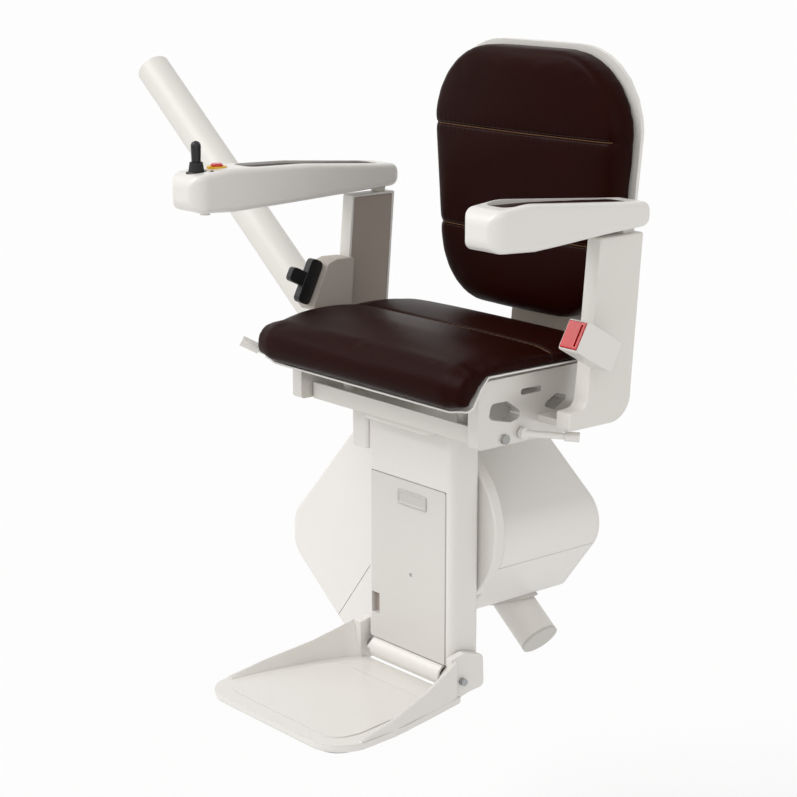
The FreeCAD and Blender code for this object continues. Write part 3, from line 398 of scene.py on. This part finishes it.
def turned(profile: Sequence[tuple[float, float]], place: Matrix,
           sides: int = 32) -> tuple[list[Vector], list[list[int]]]:
    """Solid of revolution about the placed Z axis.

    Args:
        profile: Radius and height pairs in metres, from one end of the axis to the other.
        place: Where the axis stands.
        sides: Corners round the axis.

    Returns:
        Vertices and faces.
    """
    points: list[Vector] = []
    for radius, height in profile:
        for k in range(sides):
            turn = 2.0 * math.pi * k / sides
            points.append(place @ Vector((radius * math.cos(turn), radius * math.sin(turn), height)))
    return points, rings(len(profile), sides)


def standing(centre: Point, axis: Point) -> Matrix:
    """Matrix that puts the origin at a centre and +Z along an axis."""
    return Matrix.Translation(centre) @ Vector(axis).to_track_quat("Z", "Y").to_matrix().to_4x4()


def screw(name: str, centre: Point, axis: Point, radius: float, body: str) -> bpy.types.Object:
    """Low cap screw with a hexagon socket.

    Args:
        name: The piece's name.
        centre: Where the head sits, in metres.
        axis: The way the head faces.
        radius: Radius of the head in metres.
        body: The body it moves with.

    Returns:
        The screw's head.
    """
    place = standing(centre, axis)
    rise = radius * 0.45
    socket_half = radius * 0.45
    crown = [(radius, -rise), (radius, rise * 0.6), (radius * 0.88, rise), (radius * 0.56, rise)]
    points, _ = turned(crown, place, SCREW_SIDES)
    for depth in (rise, -rise * 0.4):
        for k in range(SCREW_SIDES):
            turn = 2.0 * math.pi * k / SCREW_SIDES
            flat = socket_half / max(math.cos((turn % (math.pi / 3)) - math.pi / 6), 0.5)
            points.append(place @ Vector((flat * math.cos(turn), flat * math.sin(turn), depth)))
    return mesh_piece(name, points, rings(len(crown) + 2, SCREW_SIDES), ZINC, body)


class Facing(Enum):
    """The way a small part faces, as a unit vector."""

    FRONT = (0.0, -1.0, 0.0)
    REAR = (0.0, 1.0, 0.0)
    UP = (0.0, 0.0, 1.0)
    DOWN = (0.0, 0.0, -1.0)

    @property
    def way(self) -> Vector:
        """The facing as a vector."""
        return Vector(self.value)


@dataclass
class Studio:
    """Floor, lamps, sky and the camera at the photograph's place."""

    lens_mm: float = FOCAL_PX / PHOTO_PX * SENSOR_MM
    eye: Point = (2.0639, -1.9464, 0.9911)
    right: Point = (0.64279, 0.76604, 0.0)
    up: Point = (-0.18207, 0.15277, 0.97135)
    floor_drop: float = 0.36
    floor_reach: float = 30.0
    floor_glow: float = 0.75
    sky_light: float = 0.62

    def build(self) -> None:
        """Set the stage."""
        scene = bpy.context.scene
        scene.view_settings.view_transform = "Standard"
        self.floor()
        self.sky()
        self.lamp("key", (-0.45, -0.62, 0.80), 1.75, 40.0)
        self.lamp("fill", (0.85, -0.45, 0.35), 0.60, 60.0)
        self.camera()

    def floor(self) -> None:
        """Pale floor, well below the chair because the rail holds it."""
        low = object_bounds()[0].z - self.floor_drop
        reach = self.floor_reach
        mesh = bpy.data.meshes.new("floor")
        corners = [(x * reach, y * reach, low) for x, y in ((-1, -1), (1, -1), (1, 1), (-1, 1))]
        mesh.from_pydata(corners, [], [(0, 1, 2, 3)])
        floor = bpy.data.objects.new("floor", mesh)
        bpy.context.scene.collection.objects.link(floor)
        material = bpy.data.materials.new("pale_floor")
        material.use_nodes = True
        tree = material.node_tree
        tree.nodes.clear()
        diffuse = add(tree, "ShaderNodeBsdfDiffuse", {"Color": (0.86, 0.86, 0.86, 1.0)})
        glow = add(tree, "ShaderNodeEmission", {"Color": (1.0, 1.0, 1.0, 1.0), "Strength": 1.0})
        rays = add(tree, "ShaderNodeLightPath")
        seen = add(tree, "ShaderNodeMath", {
            0: rays.outputs["Is Camera Ray"], 1: rays.outputs["Is Glossy Ray"]}, operation="MAXIMUM")
        share = add(tree, "ShaderNodeMath", {0: seen.outputs[0], 1: self.floor_glow},
                    operation="MULTIPLY")
        mix = add(tree, "ShaderNodeMixShader", {
            0: share.outputs[0], 1: diffuse.outputs[0], 2: glow.outputs[0]})
        add(tree, "ShaderNodeOutputMaterial", {"Surface": mix.outputs[0]})
        mesh.materials.append(material)
        floor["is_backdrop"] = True

    def sky(self) -> None:
        """Even white surroundings, dimmer as a light than as a backdrop."""
        world = bpy.data.worlds.new("studio")
        bpy.context.scene.world = world
        world.use_nodes = True
        tree = world.node_tree
        tree.nodes.clear()
        rays = add(tree, "ShaderNodeLightPath")
        camera_or_gloss = add(tree, "ShaderNodeMath", {
            0: rays.outputs["Is Camera Ray"], 1: rays.outputs["Is Glossy Ray"]}, operation="MAXIMUM")
        seen = add(tree, "ShaderNodeMath", {
            0: camera_or_gloss.outputs[0], 1: rays.outputs["Is Transmission Ray"]}, operation="MAXIMUM")
        strength = add(tree, "ShaderNodeMapRange", {
            "Value": seen.outputs[0], "To Min": self.sky_light, "To Max": 1.0})
        light = add(tree, "ShaderNodeBackground", {
            "Color": (1.0, 0.995, 0.985, 1.0), "Strength": strength.outputs[0]})
        add(tree, "ShaderNodeOutputWorld", {"Surface": light.outputs[0]})

    def lamp(self, name: str, towards: Point, strength: float, spread_deg: float) -> None:
        """Soft distant lamp.

        Args:
            name: The lamp's name.
            towards: Direction from the chair to the lamp.
            strength: Irradiance in watts per square metre.
            spread_deg: Angle that the lamp fills.
        """
        data = bpy.data.lights.new(name, "SUN")
        data.energy = strength
        data.angle = math.radians(spread_deg)
        lamp = bpy.data.objects.new(name, data)
        lamp.rotation_mode = "QUATERNION"
        lamp.rotation_quaternion = Vector(towards).to_track_quat("Z", "Y")
        bpy.context.scene.collection.objects.link(lamp)

    def camera(self) -> None:
        """Camera at the photograph's viewing angle."""
        data = bpy.data.cameras.new("camera")
        data.lens = self.lens_mm
        data.sensor_width = SENSOR_MM
        camera = bpy.data.objects.new("camera", data)
        right, up = Vector(self.right), Vector(self.up)
        back = right.cross(up)
        camera.matrix_world = Matrix((
            (right.x, up.x, back.x, self.eye[0]), (right.y, up.y, back.y, self.eye[1]),
            (right.z, up.z, back.z, self.eye[2]), (0.0, 0.0, 0.0, 1.0)))
        bpy.context.scene.collection.objects.link(camera)
        bpy.context.scene.camera = camera


@dataclass
class Dressing:
    """The built pieces that keep their own shape and get their real surface."""

    def build(self) -> None:
        """Give each built piece its finish."""
        for name, finish in NODE_FINISH.items():
            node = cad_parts[name]
            node.data.materials.clear()
            node.data.materials.append(finish.build())
            LOG.info("%s is %s", name, finish.name)


@dataclass
class Cushion:
    """A padded, leather covered piece, sewn from panels that swell between their seams.

    rests says where the cover lies on its base, seam_gap how far a point is from the nearest
    seam, and on_show where the seams are. Lengths are in metres.
    """

    node: str
    body: str
    name: str
    rests: Callable[[Vector, Vector], bool]
    seam_gap: Callable[[Vector], float]
    on_show: Callable[[Vector], bool]
    voxel: float = 5.5 * MM
    pressure: float = 0.8
    cap: float = 3.0 * MM
    draw_in: float = 1.2 * MM
    groove: float = 1.8 * MM
    groove_half: float = 3.2 * MM
    pucker: float = 0.22 * MM
    pucker_pitch: float = 11.0 * MM
    far: float = 1.0
    fill: float = 0.75

    def build(self) -> bpy.types.Object:
        """Make the cushion from its plain solid.

        Returns:
            The finished cushion.
        """
        piece = self.skin()
        self.inflate(piece)
        self.refine(piece)
        self.sew(piece)
        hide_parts(self.node)
        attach(piece, self.body)
        LOG.info("%s has %d points", self.name, len(piece.data.vertices))
        return piece

    def skin(self) -> bpy.types.Object:
        """Even skin over the plain solid, drawn in to leave room for the padding.

        Returns:
            The skin.
        """
        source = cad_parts[self.node]
        mesh = source.data.copy()
        mesh.name = self.name
        mesh.transform(source.matrix_world)
        piece = bpy.data.objects.new(self.name, mesh)
        bpy.context.scene.collection.objects.link(piece)
        mesh.materials.clear()
        mesh.materials.append(HIDE.build())
        remesh = piece.modifiers.new("even", "REMESH")
        remesh.mode = "VOXEL"
        remesh.voxel_size = self.voxel
        self.apply(piece)
        mesh = piece.data
        inward = [v.normal.copy() * -self.draw_in for v in mesh.vertices]
        for v, shift in zip(mesh.vertices, inward):
            if not self.rests(v.co, v.normal):
                v.co += shift
        return piece

    def apply(self, piece: bpy.types.Object) -> None:
        """Turn a piece's modifiers into its mesh."""
        graph = bpy.context.evaluated_depsgraph_get()
        mesh = bpy.data.meshes.new_from_object(piece.evaluated_get(graph), depsgraph=graph)
        old = piece.data
        piece.modifiers.clear()
        piece.data = mesh
        mesh.name = self.name
        bpy.data.meshes.remove(old)

    def inflate(self, piece: bpy.types.Object) -> None:
        """Let the cover swell like stuffed cloth, held at its seams and where it rests."""
        held = piece.vertex_groups.new(name="held")
        start = []
        for v in piece.data.vertices:
            gap = self.seam_gap(v.co) if self.on_show(v.co) else self.far
            near = max(0.0, 1.0 - gap / (self.voxel * 1.3))
            weight = 1.0 if self.rests(v.co, v.normal) else near
            if weight > 0.0:
                held.add([v.index], weight, "REPLACE")
            start.append(v.co.copy())
        cloth = piece.modifiers.new("cloth", "CLOTH")
        cloth.settings.vertex_group_mass = "held"
        cloth.settings.use_pressure = True
        cloth.settings.uniform_pressure_force = self.pressure
        cloth.settings.effector_weights.gravity = 0.0
        cloth.settings.tension_stiffness = 18.0
        cloth.settings.compression_stiffness = 12.0
        cloth.settings.bending_stiffness = 1.2
        cloth.settings.quality = 4
        cloth.collision_settings.use_collision = False
        cloth.point_cache.frame_end = SWELL_FRAMES
        scene = bpy.context.scene
        for step in range(1, SWELL_FRAMES + 1):
            scene.frame_set(step)
        self.apply(piece)
        scene.frame_set(1)
        for v, before in zip(piece.data.vertices, start):
            move = v.co - before
            if move.length > self.cap:
                v.co = before + move.normalized() * self.cap

    def refine(self, piece: bpy.types.Object) -> None:
        """Relax the skin's steps and divide it once."""
        relax = piece.modifiers.new("relax", "SMOOTH")
        relax.factor = 0.5
        relax.iterations = 4
        finer = piece.modifiers.new("finer", "SUBSURF")
        finer.levels = 1
        finer.render_levels = 1
        self.apply(piece)

    def sew(self, piece: bpy.types.Object) -> None:
        """Sink the seams, with the small puckers that the stitches pull."""
        mesh = piece.data
        shifts = []
        for v in mesh.vertices:
            sewn = self.on_show(v.co) and not self.rests(v.co, v.normal)
            gap = self.seam_gap(v.co) if sewn else self.far
            sink = self.groove * math.exp(-(gap / self.groove_half) ** 2)
            wave = math.sin(v.co.x * 2.0 * math.pi / self.pucker_pitch)
            ripple = wave * math.exp(-(gap / self.pucker_pitch) ** 2) * self.pucker
            shifts.append(v.normal * (-sink + ripple))
        for v, shift in zip(mesh.vertices, shifts):
            v.co += shift
        for face in mesh.polygons:
            face.use_smooth = True
        mesh.update()


@dataclass
class SeamThread:
    """Row of stitches beside a seam, or one unbroken cord where the stitch is over UNBROKEN."""

    name: str
    body: str
    finish: Finish
    radius: float = 0.45 * MM
    stitch: float = 4.2 * MM
    gap: float = 1.3 * MM

    def build(self, surface: bpy.types.Object, rays: Sequence[tuple[Vector, Vector]]) -> None:
        """Lay stitches where rays meet a surface.

        Args:
            surface: The sewn piece.
            rays: Start and direction of each ray, in order along the seam.
        """
        graph = bpy.context.evaluated_depsgraph_get()
        tree = BVHTree.FromObject(surface, graph)
        line: list[Vector] = []
        for start, way in rays:
            hit, normal, _, _ = tree.ray_cast(start, way)
            if hit is not None:
                line.append(hit + normal * self.radius * 0.2)
        form = tube(line, self.radius, 6) if self.stitch > UNBROKEN else self.stitches(line)
        mesh_piece(self.name, *form, self.finish, self.body)
        LOG.info("%s follows %d points", self.name, len(line))

    def stitches(self, line: Sequence[Vector]) -> tuple[list[Vector], list[list[int]]]:
        """Short tubes one after another along a line.

        Args:
            line: Points along the seam, in metres.

        Returns:
            Vertices and faces.
        """
        points: list[Vector] = []
        faces: list[list[int]] = []
        travelled, stretch = 0.0, [line[0]]
        for before, here in zip(line, line[1:]):
            travelled += (here - before).length
            stretch.append(here)
            if travelled >= self.stitch:
                more, skin = tube(stretch[:-1] if len(stretch) > 2 else stretch, self.radius, 6)
                faces += [[i + len(points) for i in face] for face in skin]
                points += more
                travelled, stretch = 0.0, [here + (here - before).normalized() * self.gap]
        return points, faces


def seam_rows(name: str) -> list[tuple[str, float, Finish, float]]:
    """Rows of thread at one seam.

    Args:
        name: Start of the pieces' names.

    Returns:
        Name, offset from the seam, finish and stitch length of each row.
    """
    apart = 3.2 * MM
    stitch = 4.2 * MM
    return [(name + "_stitches_low", -apart, THREAD, stitch),
            (name + "_stitches_high", apart, THREAD, stitch),
            # The welt row's light tan is a painted highlight along the seam
            (name + "_welt", 0.0, WELT_PAINTED_HIGHLIGHT, 2.0 * UNBROKEN)]


@dataclass
class SeatCushion:
    """The seat: a wedge with a waterfall front and one seam across."""

    seam_y: float = -130.0 * MM
    above: float = 600.0 * MM
    floor: float = 403.0 * MM
    side: float = 8.0 * MM

    def build(self) -> None:
        """Make the cushion and its stitches."""
        low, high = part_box("seat_cushion")

        def rests(p: Vector, n: Vector) -> bool:
            return n.z < -0.6 and p.z < self.floor + 6.0 * MM and p.y > low[1] + 46.0 * MM

        piece = Cushion("seat_cushion", "seat", "seat_leather", rests,
                        lambda p: abs(p.y - self.seam_y), lambda p: p.z > self.floor).build()
        reach = int((high[0] - self.side) / MM)
        for name, offset, finish, stitch in seam_rows("seat"):
            rays = [(Vector((x * MM, self.seam_y + offset, self.above)), Facing.DOWN.way)
                    for x in range(-reach, reach)]
            SeamThread(name, "seat", finish, stitch=stitch).build(piece, rays)


@dataclass
class BackCushion:
    """The back: a tall rounded pad with two seams across."""

    seams: tuple[float, float] = (534.0 * MM, 676.0 * MM)
    lean_deg: float = 0.5
    foot: float = 426.0 * MM
    rear: float = 30.0 * MM
    shown: float = 22.0 * MM
    side: float = 12.0 * MM

    def build(self) -> None:
        """Make the cushion and its stitches."""
        low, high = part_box("back_cushion")
        tan = math.tan(math.radians(self.lean_deg))

        def rests(p: Vector, n: Vector) -> bool:
            return n.y > 0.6 and p.y > self.rear + (p.z - self.foot) * tan

        def gap(p: Vector) -> float:
            return min(abs(p.z - seam) for seam in self.seams)

        piece = Cushion("back_cushion", "seat_frame", "back_leather", rests, gap,
                        lambda p: p.y < self.shown + (p.z - self.foot) * tan).build()
        reach = int((high[0] - self.side) / MM)
        for k, seam in enumerate(self.seams):
            for name, offset, finish, stitch in seam_rows("back_%d" % (k + 1)):
                rays = [(Vector((x * MM, low[1] - 0.1, seam + offset)), Facing.REAR.way)
                        for x in range(-reach, reach)]
                SeamThread(name, "seat_frame", finish, stitch=stitch).build(piece, rays)


@dataclass
class ArmPads:
    """The thin leather pads let into the arms' tops."""

    def build(self) -> None:
        """Make both pads."""
        for node, body in (("arm_pad_left", "arm_left"), ("arm_pad_right", "arm_right")):
            pad = Cushion(node, body, node + "_leather", lambda p, n: n.z < -0.2, lambda p: Cushion.far,
                          lambda p: True, voxel=3.0 * MM, cap=1.0 * MM, draw_in=0.5 * MM, fill=0.9)
            pad.build()


@dataclass
class Trim:
    """Thin trim: the badge's blank field, a grey plate on the slot's floor that paints the shade in the slot,
    and the arm's indicator lamp.
    """

    lamp_x: float = -231.0 * MM
    lamp_y: float = -352.0 * MM
    lamp_z: float = 628.0 * MM
    above: float = 750.0 * MM

    def build(self) -> None:
        """Make the three pieces."""
        low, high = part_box("blank_badge")
        edge = 3.2 * MM
        self.plate("badge_field", (low[0] + edge, high[1] - 0.7 * MM, low[2] + edge),
                   (high[0] - edge, high[1] - 0.3 * MM, high[2] - edge), DARK_FOIL)
        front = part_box("front_panel")[0]
        # The slot's floor plate is painted grey: painted shade inside the slot
        self.plate("slot_painted_shade", (front[0] + 0.9 * MM, front[1] + 6.0 * MM, 5.0 * MM),
                   (front[0] + 16.5 * MM, front[1] + 6.6 * MM, 33.0 * MM), RECESS_GREY_PAINTED_SHADE)
        place = standing(self.lamp_place(), Facing.UP.value)
        points, faces = turned([(2.6 * MM, -2.0 * MM), (2.6 * MM, 0.4 * MM), (1.8 * MM, 1.1 * MM),
                                (0.6 * MM, 1.5 * MM)], place, 24)
        mesh_piece("indicator_lens", points, faces, DARK_LENS, "arm_right")

    def lamp_place(self) -> Point:
        """Where the lens sits on the arm's top, found by a ray from above."""
        graph = bpy.context.evaluated_depsgraph_get()
        arm = BVHTree.FromObject(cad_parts["arm_right"], graph)
        hit = arm.ray_cast(Vector((self.lamp_x, self.lamp_y, self.above)), Facing.DOWN.way)[0]
        return tuple(hit) if hit is not None else (self.lamp_x, self.lamp_y, self.lamp_z)

    @staticmethod
    def plate(name: str, low: Point, high: Point, finish: Finish) -> None:
        """Thin plate on the column between two corners.

        Args:
            name: The piece's name.
            low: Its low corner in metres.
            high: Its high corner in metres.
            finish: What it is made of.
        """
        points = [Vector((x, y, z)) for x in (low[0], high[0]) for y in (low[1], high[1])
                  for z in (low[2], high[2])]
        faces = [(0, 1, 3, 2), (4, 6, 7, 5), (0, 4, 5, 1), (2, 3, 7, 6), (0, 2, 6, 4), (1, 5, 7, 3)]
        piece = mesh_piece(name, points, faces, finish, "column")
        for face in piece.data.polygons:
            face.use_smooth = False


@dataclass
class Fasteners:
    """Small screws that show on the covers. Places are in metres."""

    pans: tuple[float, ...] = (-0.16, -0.06, 0.06, 0.16)
    plugs: tuple[tuple[float, float], ...] = ((-0.10, 0.50), (0.10, 0.50), (-0.10, 0.70), (0.10, 0.70))

    def build(self) -> None:
        """Put each screw in its place."""
        screw("panel_screw", (0.007, -0.1975, 0.079), Facing.FRONT.value, 2.3 * MM, "column")
        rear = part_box("rear_cover")[1][1]
        for k, (x, z) in enumerate(self.rear_cover_places()):
            screw("rear_cover_screw_%d" % (k + 1), (x, rear, z), Facing.REAR.value, 3.2 * MM, "carriage")
        for k, x in enumerate(self.pans):
            screw("pan_screw_%d" % (k + 1), (x, -0.12, 0.4003), Facing.DOWN.value, 4.0 * MM, "seat")
        for k, (x, z) in enumerate(self.plugs):
            self.shell_plug(k, x, z)

    @staticmethod
    def rear_cover_places() -> list[tuple[float, float]]:
        """X and Z of the screws that hold the housing's rear cover, from their places along the rail."""
        slope = math.radians(RAIL_SLOPE_DEG)
        places = ((0.200, -0.060), (0.200, -0.290), (0.060, -0.300), (-0.090, -0.070), (-0.085, 0.040),
                  (0.045, 0.050))
        return [(-math.cos(slope) * u + math.sin(slope) * v,
                 HUB_Z + math.sin(slope) * u + math.cos(slope) * v) for u, v in places]

    @staticmethod
    def shell_plug(k: int, x: float, z: float) -> None:
        """Flush plug over a screw in the back shell.

        Args:
            k: Number of the plug, from 0.
            x: Its place across the shell, in metres.
            z: Its height in metres.
        """
        graph = bpy.context.evaluated_depsgraph_get()
        shell = BVHTree.FromObject(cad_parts["back_shell"], graph)
        hit, normal, _, _ = shell.ray_cast(Vector((x, 0.4, z)), Facing.FRONT.way)
        if hit is None:
            return
        place = standing(tuple(hit), tuple(normal))
        points, faces = turned([(7.0 * MM, -1.0 * MM), (7.0 * MM, 0.5 * MM), (6.3 * MM, 1.0 * MM)], place, 28)
        mesh_piece("shell_plug_%d" % (k + 1), points, faces, LIGHT_PP, "seat_frame")


def main() -> None:
    """Build the scene in order."""
    logging.basicConfig(level=logging.INFO, format="%(message)s")
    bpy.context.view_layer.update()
    Studio().build()
    Dressing().build()
    SeatCushion().build()
    BackCushion().build()
    ArmPads().build()
    Trim().build()
    Fasteners().build()


if __name__ == "__main__":
    main()
